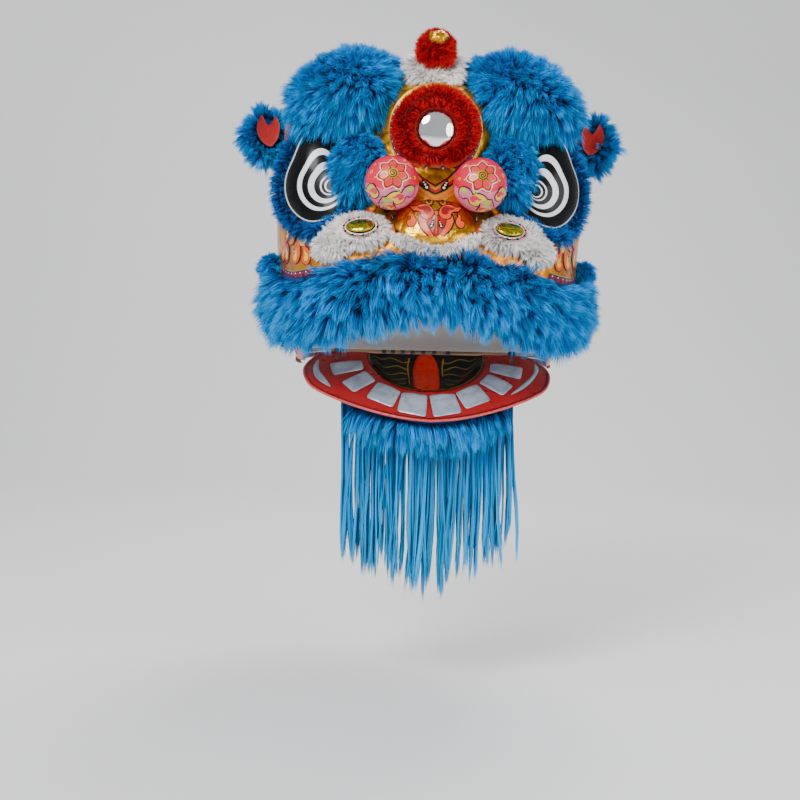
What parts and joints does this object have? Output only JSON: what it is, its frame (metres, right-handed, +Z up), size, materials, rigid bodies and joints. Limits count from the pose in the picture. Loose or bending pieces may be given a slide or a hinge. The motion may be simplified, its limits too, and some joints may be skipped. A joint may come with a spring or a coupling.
{
  "type": "lion dance head",
  "caption": "Hollow painted lion dance head with fur brows, lip and beard, a forehead mirror, a hinged lower jaw, hinged eyelids and hinged ears",
  "frame": {"origin": "the middle of the bar across the mouth that the hands hold", "axes": "+Z up, the face looks along -Y, +X is the lion's left side"},
  "size_m": [0.7712, 0.6339, 1.0797],
  "materials": {
    "painted_paper": "hand-painted gold and orange, satin varnish",
    "gold_foil": "crumpled gold foil",
    "blue_fur": "deep blue fur",
    "red_fur": "short red fur",
    "white_fur": "short white fur",
    "red_felt": "red felt",
    "eye_gloss": "black and white stripes under clear gloss",
    "silver": "silver paper, lightly creased",
    "mirror": "silvered convex glass",
    "wood": "plain pole and cane",
    "palate_cloth": "plain grey cloth",
    "jaw_red": "red and black paint, satin varnish",
    "tongue_red": "orange-red paint",
    "ball_paint": "painted flowers under varnish",
    "hair": "long straight blue hair"
  },
  "bodies": {
    "head": {"skull_shell": "painted_paper", "base_ring": "wood", "carry_bar": "wood", "palate": "palate_cloth", "forehead_plate": "painted_paper", "mirror": "mirror", "mirror_rim": "silver", "mirror_ring": "red_fur", "horn": "gold_foil", "horn_fur_upper": "white_fur", "horn_fur_lower": "white_fur", "horn_knob": "gold_foil", "horn_ball": "red_fur", "nose": "gold_foil", "nose_ball_left": "ball_paint", "nostril_left": "gold_foil", "nostril_pad_left": "white_fur", "cheek_fur_left": "white_fur", "eye_left": "eye_gloss", "eye_trim_left": "blue_fur", "brow_left": "blue_fur", "cheek_tuft_left": "blue_fur", "nose_ball_right": "ball_paint", "nostril_right": "gold_foil", "nostril_pad_right": "white_fur", "cheek_fur_right": "white_fur", "eye_right": "eye_gloss", "eye_trim_right": "blue_fur", "brow_right": "blue_fur", "cheek_tuft_right": "blue_fur", "nose_trim": "white_fur", "lip_fur": "blue_fur"},
    "jaw": {"jaw": "jaw_red", "tongue": "tongue_red", "jaw_fluff": "blue_fur", "beard": "hair", "tooth_1": "silver", "tooth_2": "silver", "tooth_3": "silver", "tooth_4": "silver", "tooth_5": "silver", "tooth_6": "silver", "tooth_7": "silver", "tooth_8": "silver"},
    "eyelid_left": {"eyelid_left": "blue_fur"},
    "eyelid_right": {"eyelid_right": "blue_fur"},
    "ear_left": {"ear_cup_left": "red_felt", "ear_fur_left": "blue_fur"},
    "ear_right": {"ear_cup_right": "red_felt", "ear_fur_right": "blue_fur"}
  },
  "joints": [
    {"name": "jaw_hinge", "type": "hinge", "parent": "head", "child": "jaw", "pos_m": [0, 0, 0], "axis": [1, 0, 0], "range_deg": [-20, 0]},
    {"name": "eyelid_left_hinge", "type": "hinge", "parent": "head", "child": "eyelid_left", "pos_m": [0.118, -0.132, 0.398], "axis": [0.9678, 0.2516, 0], "range_deg": [-22, 0]},
    {"name": "ear_left_hinge", "type": "hinge", "parent": "head", "child": "ear_left", "pos_m": [0.276, 0.034, 0.398], "axis": [0, 1, 0], "range_deg": [-15, 15]},
    {"name": "eyelid_right_hinge", "type": "hinge", "parent": "head", "child": "eyelid_right", "pos_m": [-0.118, -0.132, 0.398], "axis": [0.9678, -0.2516, 0], "range_deg": [-22, 0]},
    {"name": "ear_right_hinge", "type": "hinge", "parent": "head", "child": "ear_right", "pos_m": [-0.276, 0.034, 0.398], "axis": [0, 1, 0], "range_deg": [-15, 15]}
  ]
}
